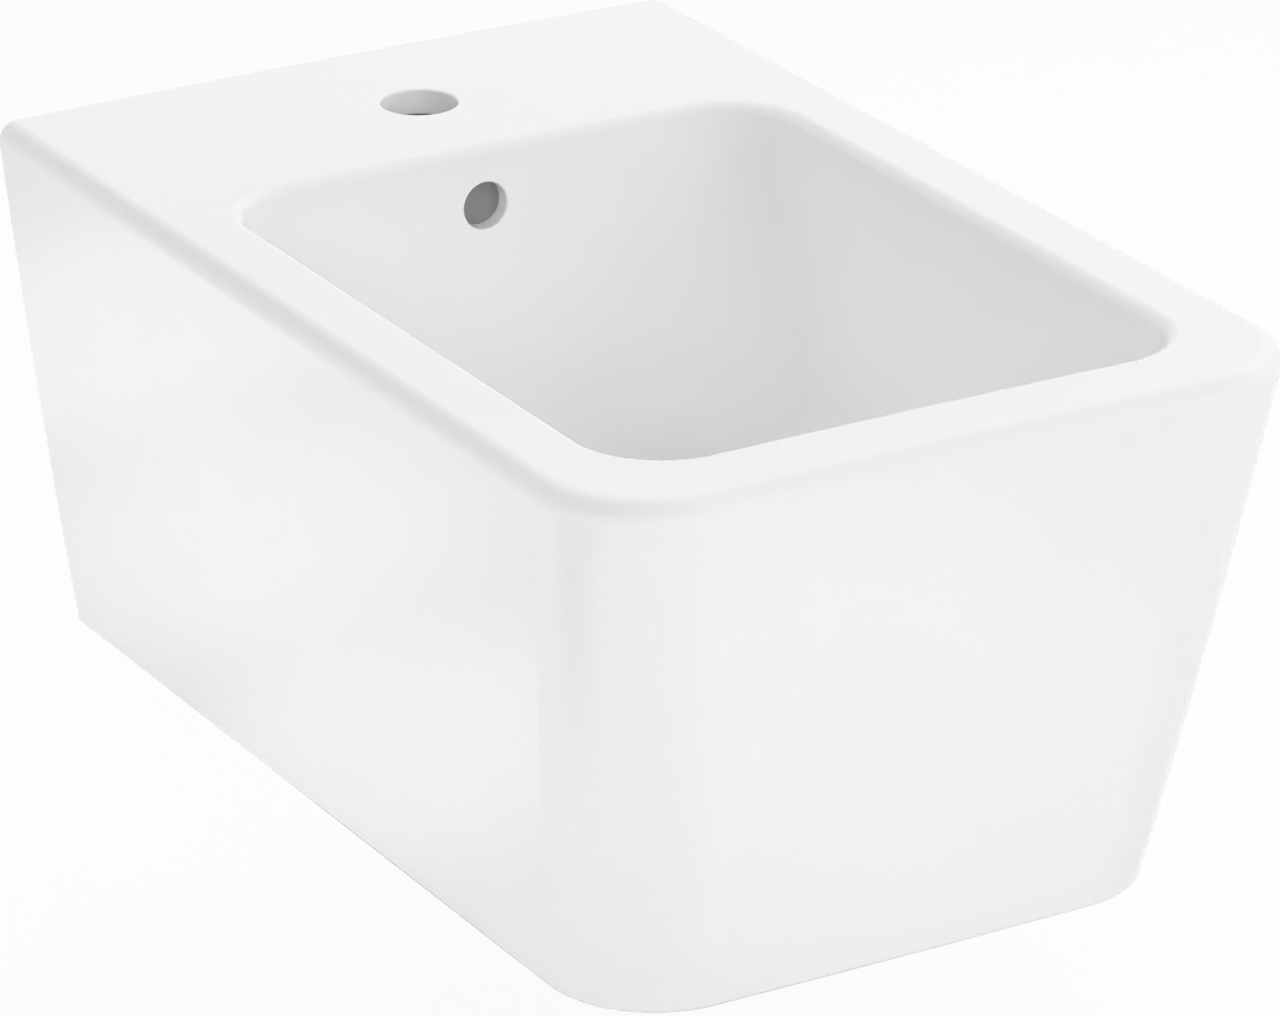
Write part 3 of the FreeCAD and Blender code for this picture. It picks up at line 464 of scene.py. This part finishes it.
@dataclass
class China:
    """The china body: glazed where it shows, raw at the wall, at the foot and in the hollow."""

    node: str = "ceramic_body"
    deck: float = 0.075
    height: float = 0.252
    half_width: float = 0.1764
    side_draft: float = 0.0331
    depth: float = 0.540
    front_draft: float = 0.0482
    corner_radius: float = 0.052
    skin: float = 0.006
    deck_skin: float = 0.009
    bowl_half_width: float = 0.1388
    bowl_rear: float = -0.1375
    bowl_front: float = -0.4988
    bowl_depth: float = 0.159
    bowl_side_draft: float = 0.019
    bowl_front_draft: float = 0.022
    bowl_margin: float = 0.003
    bowl_heart: tuple[float, float, float] = (0.0, -0.31, 0.10)
    duct_y: float = -0.126
    duct_reach: float = 0.032
    duct_low: float = -0.10
    tap_y: float = -0.0737
    tap_radius: float = 0.0175
    tap_wall: float = 0.0105
    flat_margin: float = 0.0004
    normal_layer: str = "exact_normal"

    def depth_in_skin(self, spot: Vector) -> float:
        """Measures how far a spot lies inside the outline of the body at its height.

        Args:
            spot: A point of the china.

        Returns:
            The distance from the outer skin, at the sides and the front.
        """
        share = (self.deck - spot.z) / self.height
        side = self.half_width - self.side_draft * share
        front = self.depth - self.front_draft * share
        past_side = abs(spot.x) - (side - self.corner_radius)
        past_front = -spot.y - (front - self.corner_radius)
        if past_side > 0 and past_front > 0:
            return self.corner_radius - math.hypot(past_side, past_front)
        return self.corner_radius - max(past_side, past_front)

    def faces_bowl(self, spot: Vector, normal: Vector) -> bool:
        """Tells whether a spot lies on the inside of the bowl.

        Args:
            spot: A point of the china.
            normal: Its outward direction.

        Returns:
            True in the bowl and in its drain hole.
        """
        share = (self.deck - spot.z) / self.bowl_depth
        side = self.bowl_half_width - self.bowl_side_draft * share + self.bowl_margin
        front = self.bowl_front + self.bowl_front_draft * share - self.bowl_margin
        if abs(spot.x) > side or not front < spot.y < self.bowl_rear + self.bowl_margin:
            return False
        low = self.deck - self.bowl_depth - self.bowl_margin
        return spot.z > low and normal.dot(Vector(self.bowl_heart) - spot) > 0

    def is_raw(self, spot: Vector, normal: Vector) -> bool:
        """Tells whether a spot on the china has no glaze.

        Args:
            spot: A point of the surface.
            normal: Its outward direction.

        Returns:
            True at the wall, under the foot and inside the hollow.
        """
        drop = self.deck - spot.z
        if spot.y > -self.flat_margin or drop > self.height - self.flat_margin:
            return True
        if self.depth_in_skin(spot) < self.skin or drop < self.deck_skin:
            return False
        return not (self.lines_hole(spot, normal) or self.faces_bowl(spot, normal))

    def lines_hole(self, spot: Vector, normal: Vector) -> bool:
        """Tells whether a spot lines the tap hole, the overflow hole or its duct.

        Args:
            spot: A point of the china.
            normal: Its outward direction.

        Returns:
            True on those walls.
        """
        from_tap = math.hypot(spot.x, spot.y - self.tap_y)
        if from_tap < self.tap_radius + self.flat_margin and self.deck - spot.z < self.tap_wall:
            return True
        to_duct = Vector((0, self.duct_y, spot.z)) - spot
        return to_duct.length < self.duct_reach and spot.z > self.duct_low and normal.dot(to_duct) > 0

    def build(self) -> list[bpy.types.Object]:
        """Copies the china with the exact normals of its surfaces and parts glaze from raw china.

        Returns:
            The china.
        """
        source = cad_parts[self.node].data
        shape = bmesh.new()
        shape.from_mesh(source)
        exact = shape.loops.layers.float_vector.new(self.normal_layer)
        for face, polygon in zip(shape.faces, source.polygons):
            face.material_index = int(self.is_raw(face.calc_center_median(), face.normal))
            for offset, loop in enumerate(face.loops):
                loop[exact] = source.corner_normals[polygon.loop_start + offset].vector
        bmesh.ops.remove_doubles(shape, verts=shape.verts, dist=WELD)
        piece = add_piece(shape, "china", [GLAZE, RAW_CHINA], Body.BIDET, [self.node], None)
        kept = piece.data.attributes[self.normal_layer]
        normals = [tuple(item.vector) for item in kept.data]
        piece.data.normals_split_custom_set(normals)
        piece.data.attributes.remove(piece.data.attributes[self.normal_layer])
        return [piece]


@dataclass
class Fittings:
    """Small fittings with rounded edges."""

    soft_edge: float = 0.0004
    fine_edge: float = 0.0003
    plain_edge: float = 0.0005
    broad_edge: float = 0.0008

    def rounded(self, node: str, name: str, slot: Slot, finish: Finish, body: Body,
                width: float | None = None) -> bpy.types.Object:
        """Adds a rounded copy of a node.

        Args:
            node: Name of the node that it stands for.
            name: Name of the piece.
            slot: Slot of the record; not used.
            finish: Its finish.
            body: Body that it rides on.
            width: Width of the rounding, or None for the usual one.

        Returns:
            The piece.
        """
        shape = rounded_copy(node, width or self.soft_edge)
        return add_piece(shape, name, [finish], body, [node])


@dataclass
class Waste(Fittings):
    """The chrome waste with its seals, washer and lock nut, and the plug's guide and spring."""

    drain_y: float = -0.245
    spring_low: float = -0.1170
    spring_high: float = -0.1090
    spring_radius: float = 0.0042
    wire_radius: float = 0.0004
    end_gap: float = 0.00005
    turns: int = 4
    steps: int = 28
    wire_steps: int = 14

    def coil(self) -> bpy.types.Object:
        """Winds the spring between its seat and the stem.

        Returns:
            The spring.
        """
        shape = bmesh.new()
        start = self.spring_low + self.wire_radius + self.end_gap
        climb = self.spring_high - self.spring_low - 2 * (self.wire_radius + self.end_gap)
        ring = bmesh.ops.create_circle(shape, segments=self.wire_steps, radius=self.wire_radius,
                                       cap_ends=True)
        upright = Matrix.Translation((self.spring_radius, 0, start)) @ Matrix.Rotation(math.pi / 2, 4, "X")
        bmesh.ops.transform(shape, matrix=upright, verts=ring["verts"])
        count = self.turns * self.steps
        bmesh.ops.spin(shape, geom=shape.verts[:] + shape.edges[:] + shape.faces[:], cent=(0, 0, 0),
                       axis=Z_AXIS, dvec=(0, 0, climb / count), angle=FULL_TURN * self.turns, steps=count)
        bmesh.ops.recalc_face_normals(shape, faces=shape.faces)
        bmesh.ops.translate(shape, vec=(0, self.drain_y, 0), verts=shape.verts)
        piece = add_piece(shape, "click_coil", [SPRING_STEEL], None, ["click_spring"])
        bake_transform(piece)
        return piece

    def build(self) -> list[bpy.types.Object]:
        """Builds and dresses the waste.

        Returns:
            Its pieces.
        """
        return [
            self.rounded("waste_body", "waste_flange", Slot.CHROME, CHROME, Body.BIDET, self.fine_edge),
            self.rounded("waste_top_seal", "waste_top_ring", Slot.RUBBER, RUBBER, Body.BIDET),
            self.rounded("waste_lower_seal", "waste_cone_ring", Slot.RUBBER, RUBBER, Body.BIDET,
                         self.broad_edge),
            self.rounded("waste_slip_washer", "waste_slip_ring", Slot.WASHER, MILKY, Body.BIDET),
            self.rounded("waste_back_nut", "waste_lock_nut", Slot.BRASS, BRASS, Body.BIDET,
                         self.broad_edge),
            self.rounded("click_cartridge", "click_guide", Slot.CARTRIDGE, GUIDE_PLASTIC, Body.BIDET),
            self.coil(),
        ]


@dataclass
class Plug(Fittings):
    """The domed plug with its seal and stem."""

    drain_y: float = -0.245
    radius: float = 0.031
    edge: float = 0.003
    dome: float = 0.0025
    low: float = -0.0822
    boss_radius: float = 0.008
    boss_height: float = 0.007
    socket_radius: float = 0.00405
    socket_depth: float = 0.006
    dome_steps: int = 14
    steps: int = 128
    rim_edge: float = 0.0007
    rim_steps: int = 3

    def cap(self) -> bpy.types.Object:
        """Turns the domed cap with its boss.

        Returns:
            The cap.
        """
        crown = (self.radius**2 + self.dome**2) / (2 * self.dome)
        top = self.low + self.edge + self.dome
        boss_low = self.low - self.boss_height
        socket_top = boss_low + self.socket_depth
        dome = []
        for step in range(self.dome_steps + 1):
            across = self.radius * (1 - step / self.dome_steps)
            dome.append((across, top - crown + math.sqrt(crown**2 - across**2)))
        shape = lathe([
            (0.0, socket_top), (self.socket_radius, socket_top), (self.socket_radius, boss_low),
            (self.boss_radius, boss_low), (self.boss_radius, self.low), (self.radius, self.low), *dome,
        ], self.steps)
        soften(shape, self.rim_edge, segments=self.rim_steps)
        bmesh.ops.translate(shape, vec=(0, self.drain_y, 0), verts=shape.verts)
        return add_piece(shape, "plug_dome", [CHROME], Body.PLUG, ["plug_cap"])

    def build(self) -> list[bpy.types.Object]:
        """Builds and dresses the plug.

        Returns:
            Its pieces.
        """
        return [
            self.cap(),
            self.rounded("plug_seal", "plug_ring", Slot.RUBBER, RUBBER, Body.PLUG),
            self.rounded("plug_stem", "plug_rod", Slot.BRASS, BRASS, Body.PLUG, self.plain_edge),
        ]


@dataclass
class Trap(Fittings):
    """The white bottle trap with its unions, tubes, cup and wall rosette."""

    soft_edge: float = 0.0005
    white: tuple[tuple[str, str], ...] = (
        ("trap_inlet_nut", "inlet_union"), ("trap_inlet_tube", "dip_tube"), ("trap_tube_nut", "tube_union"),
        ("trap_body", "trap_barrel"), ("trap_cup", "trap_bottle"), ("trap_outlet_nut", "outlet_union"),
        ("trap_outlet_pipe", "outlet_tube"), ("wall_rosette", "rosette"),
    )
    black: tuple[tuple[str, str], ...] = (
        ("trap_inlet_seal", "inlet_ring"), ("trap_tube_seal", "tube_ring"),
        ("trap_cup_seal", "bottle_ring"), ("trap_outlet_seal", "outlet_ring"),
    )

    def build(self) -> list[bpy.types.Object]:
        """Builds and dresses the trap.

        Returns:
            Its pieces.
        """
        pieces = [self.rounded(node, name, Slot.TRAP, TRAP_PLASTIC, Body.BIDET)
                  for node, name in self.white]
        pieces += [self.rounded(node, name, Slot.RUBBER, RUBBER, Body.BIDET, self.fine_edge)
                   for node, name in self.black]
        return pieces


@dataclass
class Fixings(Fittings):
    """The two threaded wall studs, each with its sleeve, washer and nut."""

    spacing: float = 0.180
    pitch: float = 0.00175
    thread_depth: float = 0.001
    nut_end_radius: float = 0.00543
    wall_end_radius: float = 0.006
    neck_radius: float = 0.0052
    tip: float = -0.0455
    neck_length: float = 0.002
    neck_sink: float = 0.0005
    wall_end: float = 0.040
    chamfer: float = 0.001
    neck_steps: int = 32
    thread_crease: float = 28.0

    def studs(self) -> bpy.types.Object:
        """Builds both studs with their threads.

        Returns:
            The studs.
        """
        neck_low = -self.neck_sink
        neck_high = self.neck_length + self.neck_sink
        parts = [
            screw_thread(self.nut_end_radius, self.thread_depth, self.pitch, self.tip, 0.0, self.chamfer),
            lathe([(0.0, neck_low), (self.neck_radius, neck_low), (self.neck_radius, neck_high),
                   (0.0, neck_high)], self.neck_steps),
            screw_thread(self.wall_end_radius, self.thread_depth, self.pitch, self.neck_length,
                         self.wall_end, self.chamfer),
        ]
        shape = bmesh.new()
        to_wall = Matrix.Rotation(-math.pi / 2, 4, "X")
        for side in (1, -1):
            for part in parts:
                join_into(shape, part, Matrix.Translation((self.spacing / 2 * side, 0, 0)) @ to_wall)
        for part in parts:
            part.free()
        return add_piece(shape, "threaded_studs", [ZINC], Body.BIDET, ["wall_studs"],
                         self.thread_crease)

    def build(self) -> list[bpy.types.Object]:
        """Builds and dresses the wall fixings.

        Returns:
            Its pieces.
        """
        return [
            self.studs(),
            self.rounded("stud_sleeves", "fixing_sleeves", Slot.WASHER, MILKY, Body.BIDET, self.plain_edge),
            self.rounded("stud_washers", "fixing_washers", Slot.ZINC, ZINC, Body.BIDET),
            self.rounded("stud_nuts", "fixing_nuts", Slot.ZINC, ZINC, Body.BIDET, self.broad_edge),
        ]


# Studio


@dataclass(frozen=True)
class Softbox:
    """A round soft lamp, placed by its direction from the object in degrees."""

    name: str
    azimuth: float
    elevation: float
    watts: float
    size: float = 1.3
    distance: float = 2.0


@dataclass(frozen=True)
class GlowCard:
    """A bright or dark soft-edged patch of the floor, placed by its centre."""

    name: str
    x: float
    y: float
    strength: float
    radius: float = 0.45
    use: Glow = Glow.LIGHT
    core: float = 0.35


@dataclass
class Studio:
    """Camera, soft lamps, pale surround and floor."""

    centre: tuple[float, float, float] = (0.0, -0.27, -0.03)
    camera_place: tuple[float, float, float] = (-1.476066, -2.788195, 1.169430)
    camera_azimuth: float = -0.530484
    camera_elevation: float = 0.396430
    lens: float = 202.775
    sensor: float = 36.0
    floor_height: float = -0.325
    floor_radius: float = 4.0
    floor_grey: float = 0.85
    floor_glow: float = 0.93
    card_lift: float = 0.0005
    surround: float = 0.10
    lamps: tuple[Softbox, ...] = (
        Softbox("front_box", -30, 33, 12.4),
        Softbox("right_front_box", 30, 33, 10.2),
        Softbox("left_front_box", -60, 33, 4.6),
        Softbox("right_low_box", 60, 8, 5.0),
        Softbox("right_box", 90, 33, 9.5),
        Softbox("right_rear_box", 120, 33, 6.3),
        Softbox("left_rear_box", -150, 33, 7.8),
        Softbox("top_rear_box", 180, 60, 11.7),
    )
    cards: tuple[GlowCard, ...] = (
        GlowCard("front_glow", 0.0, -0.97, 0.70),
        GlowCard("left_front_glow", -0.606, -0.62, 0.48),
        GlowCard("left_glow", -0.70, -0.27, 1.87),
        GlowCard("left_rear_glow", -0.606, 0.08, 0.85),
        GlowCard("front_gleam", 0.18, -0.74, 0.50, 0.26, Glow.GLEAM),
        GlowCard("left_gleam_a", -0.40, 0.52, 0.45, 0.20, Glow.GLEAM),
        GlowCard("left_gleam_b", -0.33, 0.25, 0.35, 0.18, Glow.GLEAM),
        GlowCard("left_gleam_c", -0.27, 0.0, 0.35, 0.16, Glow.GLEAM),
        GlowCard("corner_shade", -0.66, -0.42, 1.0, 0.30, Glow.SHADE),
        GlowCard("foot_shade_a", 0.0, -0.13, 1.0, 0.19, Glow.SHADE, 0.7),
        GlowCard("foot_shade_b", 0.0, -0.34, 1.0, 0.19, Glow.SHADE, 0.7),
    )

    @staticmethod
    def direction(azimuth: float, elevation: float) -> Vector:
        """Gives the direction from the object for an azimuth and an elevation in radians."""
        level = math.cos(elevation)
        return Vector((math.sin(azimuth) * level, -math.cos(azimuth) * level, math.sin(elevation)))

    def add_camera(self) -> None:
        """Places the camera."""
        camera = bpy.data.objects.new("camera", bpy.data.cameras.new("camera"))
        bpy.context.scene.collection.objects.link(camera)
        camera.location = self.camera_place
        look = -self.direction(self.camera_azimuth, self.camera_elevation)
        camera.rotation_euler = look.to_track_quat("-Z", "Y").to_euler()
        camera.data.sensor_fit = "HORIZONTAL"
        camera.data.sensor_width = self.sensor
        camera.data.lens = self.lens
        bpy.context.scene.camera = camera

    def add_lamps(self) -> None:
        """Hangs the soft lamps around the object."""
        for box in self.lamps:
            data = bpy.data.lights.new(box.name, "AREA")
            data.shape = "DISK"
            data.size = box.size
            data.energy = box.watts
            lamp = bpy.data.objects.new(box.name, data)
            bpy.context.scene.collection.objects.link(lamp)
            way = self.direction(math.radians(box.azimuth), math.radians(box.elevation))
            lamp.location = Vector(self.centre) + way * box.distance
            lamp.rotation_euler = way.to_track_quat("Z", "Y").to_euler()
            lamp.visible_camera = False
            lamp.visible_glossy = False

    @staticmethod
    def glow_material(card: GlowCard, centre: Vector) -> bpy.types.Material:
        """Makes the material of a card, which fades to its edge and lets the floor show through.

        Args:
            card: The card.
            centre: Its place.

        Returns:
            The material.
        """
        material = bpy.data.materials.new(card.name)
        material.use_nodes = True
        bench = Bench(material.node_tree)
        output = bench.add("OutputMaterial")
        place = bench.add("TexCoord")
        reach = bench.add("VectorMath", {1: centre}, operation="DISTANCE")
        clear = bench.add("BsdfTransparent")
        bright = card.use is not Glow.SHADE
        edge = 0.0 if bright else 1.0
        fade = bench.add("MapRange", {
            "From Min": card.radius * card.core, "From Max": card.radius,
            "To Min": abs(edge - card.strength), "To Max": edge}, interpolation_type="SMOOTHSTEP")
        bench.join(place.outputs["Object"], reach.inputs[0])
        bench.join(reach.outputs["Value"], fade.inputs["Value"])
        if not bright:
            bench.join(fade.outputs["Result"], clear.inputs["Color"])
            bench.join(clear.outputs["BSDF"], output.inputs["Surface"])
            return material
        light = bench.add("Emission", {"Color": WHITE})
        both = bench.add("AddShader")
        side = bench.add("NewGeometry")
        mix = bench.add("MixShader")
        bench.join(fade.outputs["Result"], light.inputs["Strength"])
        bench.join(side.outputs["Backfacing"], mix.inputs["Fac"])
        bench.join(light.outputs["Emission"], both.inputs[0])
        bench.join(clear.outputs["BSDF"], both.inputs[1])
        bench.join(both.outputs["Shader"], mix.inputs[1])
        bench.join(clear.outputs["BSDF"], mix.inputs[2])
        bench.join(mix.outputs["Shader"], output.inputs["Surface"])
        return material

    def add_cards(self) -> None:
        """Lays the glow cards on the floor around the object."""
        for layer, card in enumerate(self.cards, start=1):
            centre = Vector((card.x, card.y, self.floor_height + layer * self.card_lift))
            patch = self.add_disc(card.name, card.radius, centre, self.glow_material(card, centre))
            patch.visible_camera = False
            patch.visible_shadow = False
            patch.visible_diffuse = card.use is Glow.LIGHT
            patch.visible_glossy = card.use is not Glow.LIGHT

    @staticmethod
    def add_disc(name: str, radius: float, centre: Vector,
                 material: bpy.types.Material) -> bpy.types.Object:
        """Adds a level disc to the stage.

        Args:
            name: Name of the disc.
            radius: Its radius.
            centre: Its centre.
            material: Its material.

        Returns:
            The disc.
        """
        shape = bmesh.new()
        bmesh.ops.create_circle(shape, cap_ends=True, segments=DISC_STEPS, radius=radius)
        bmesh.ops.translate(shape, vec=centre, verts=shape.verts)
        mesh = bpy.data.meshes.new(name)
        shape.to_mesh(mesh)
        shape.free()
        mesh.materials.append(material)
        disc = bpy.data.objects.new(name, mesh)
        bpy.context.scene.collection.objects.link(disc)
        return disc

    @staticmethod
    def seen_mask(bench: Bench) -> bpy.types.NodeSocket:
        """Adds the mask of the rays that see the surround as white.

        Args:
            bench: Bench of the tree that needs it.

        Returns:
            The mask's socket, 1 for the camera, mirrors and glass.
        """
        path = bench.add("LightPath")
        first = bench.add("Math", operation="MAXIMUM")
        second = bench.add("Math", operation="MAXIMUM")
        bench.join(path.outputs["Is Camera Ray"], first.inputs[0])
        bench.join(path.outputs["Is Glossy Ray"], first.inputs[1])
        bench.join(first.outputs[0], second.inputs[0])
        bench.join(path.outputs["Is Transmission Ray"], second.inputs[1])
        return second.outputs[0]

    def add_surround(self) -> None:
        """Sets the pale surround: white where it is seen, softer as light."""
        world = bpy.data.worlds.new("surround")
        bpy.context.scene.world = world
        world.use_nodes = True
        bench = Bench(world.node_tree)
        output = bench.add("OutputWorld")
        light = bench.add("Background", {"Color": WHITE})
        strength = bench.add("MapRange", {"To Min": self.surround, "To Max": 1.0})
        bench.join(self.seen_mask(bench), strength.inputs["Value"])
        bench.join(strength.outputs["Result"], light.inputs["Strength"])
        bench.join(light.outputs["Background"], output.inputs["Surface"])

    def add_floor(self) -> None:
        """Lays the pale floor, which keeps a soft shadow."""
        material = bpy.data.materials.new("pale_floor")
        material.use_nodes = True
        bench = Bench(material.node_tree)
        output = bench.add("OutputMaterial")
        paint = bench.add("BsdfDiffuse", {"Color": (self.floor_grey,) * 3 + (1,)})
        glow = bench.add("Emission", {"Color": WHITE, "Strength": 1.0})
        share = bench.add("Math", {1: self.floor_glow}, operation="MULTIPLY")
        mix = bench.add("MixShader")
        bench.join(self.seen_mask(bench), share.inputs[0])
        bench.join(share.outputs[0], mix.inputs["Fac"])
        bench.join(paint.outputs["BSDF"], mix.inputs[1])
        bench.join(glow.outputs["Emission"], mix.inputs[2])
        bench.join(mix.outputs["Shader"], output.inputs["Surface"])
        self.add_disc("floor", self.floor_radius, Vector((0, self.centre[1], self.floor_height)), material)

    def build(self) -> None:
        """Sets up the whole studio."""
        self.add_camera()
        self.add_lamps()
        self.add_surround()
        self.add_floor()
        self.add_cards()
        bpy.context.scene.view_settings.view_transform = "Standard"


def main() -> None:
    """Builds the sub-assemblies in order, then the studio, and reports the pieces."""
    logging.basicConfig(level=logging.INFO, format="%(name)s: %(message)s")
    for assembly in (China(), Waste(), Plug(), Trap(), Fixings()):
        pieces = assembly.build()
        LOG.info("%s: %d pieces", type(assembly).__name__, len(pieces))
    Studio().build()


if __name__ == "__main__":
    main()
